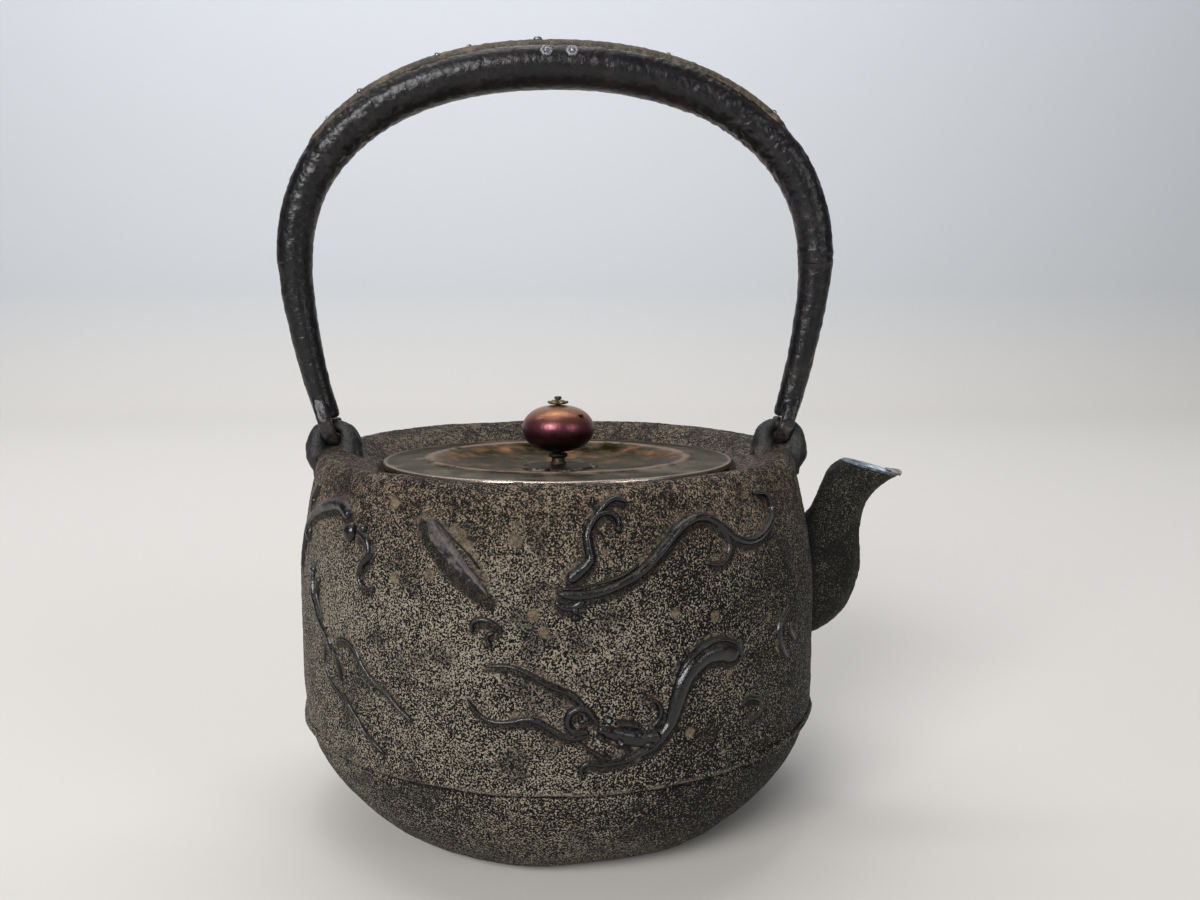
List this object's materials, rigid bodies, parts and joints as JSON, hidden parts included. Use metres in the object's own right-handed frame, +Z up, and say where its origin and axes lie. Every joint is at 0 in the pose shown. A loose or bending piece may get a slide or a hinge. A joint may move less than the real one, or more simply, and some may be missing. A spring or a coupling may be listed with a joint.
{
  "type": "cast iron kettle",
  "caption": "Cast iron water kettle with a side spout, drop-in bronze lid with a hollow copper knob, and a hollow iron bail handle hooked to two lugs.",
  "frame": {"origin": "centre of the flat base, on the surface that the kettle stands on", "axes": "+Z up, +X towards the spout, the handle's hinge line runs along X"},
  "size_m": [0.2009, 0.1654, 0.2474],
  "materials": {
    "body_iron": "grainy, dry",
    "spout_iron": "grainy, worn at the mouth",
    "lug_iron": "dark, worn",
    "handle_iron": "lacquered satin, wrinkled",
    "leg_iron": "lacquered satin",
    "seam_braze": "tarnished",
    "stud_silver": "bright, scratched",
    "lid_bronze": "dark glossy patina",
    "seat_bronze": "dark patina, worn edges",
    "knob_copper": "glossy red-brown patina",
    "flower_brass": "tarnished"
  },
  "bodies": {
    "kettle": {"kettle_body": "body_iron", "spout": "spout_iron", "lug_left": "lug_iron", "lug_right": "lug_iron"},
    "handle": {"handle_bow": "handle_iron", "handle_leg_left": "leg_iron", "handle_leg_right": "leg_iron", "handle_seam": "seam_braze", "stud_1": "stud_silver", "stud_2": "stud_silver", "stud_3": "stud_silver", "stud_4": "stud_silver", "stud_5": "stud_silver", "stud_6": "stud_silver", "stud_7": "stud_silver", "stud_8": "stud_silver", "stud_9": "stud_silver", "stud_6_washer": "stud_silver", "stud_7_washer": "stud_silver"},
    "lid": {"lid_plate": "lid_bronze", "lid_skirt": "lid_bronze", "knob_seat": "seat_bronze"},
    "knob": {"knob_neck": "seat_bronze", "knob_lower_shell": "knob_copper", "knob_upper_shell": "knob_copper", "knob_top_flower": "flower_brass", "knob_pin": "seat_bronze", "knob_clinch_washer": "seat_bronze"}
  },
  "joints": [
    {"name": "handle_swing", "type": "hinge", "parent": "kettle", "child": "handle", "pos_m": [0, 0, 0.1244], "axis": [1, 0, 0], "range_deg": [-85, 85]},
    {"name": "lid_lift", "type": "slide", "parent": "kettle", "child": "lid", "axis": [0, 0, 1], "range_m": [0, 0.06]},
    {"name": "knob_spin", "type": "hinge", "parent": "lid", "child": "knob", "pos_m": [0, 0, 0.11387], "axis": [0, 0.0262, 0.9997], "continuous": true}
  ]
}
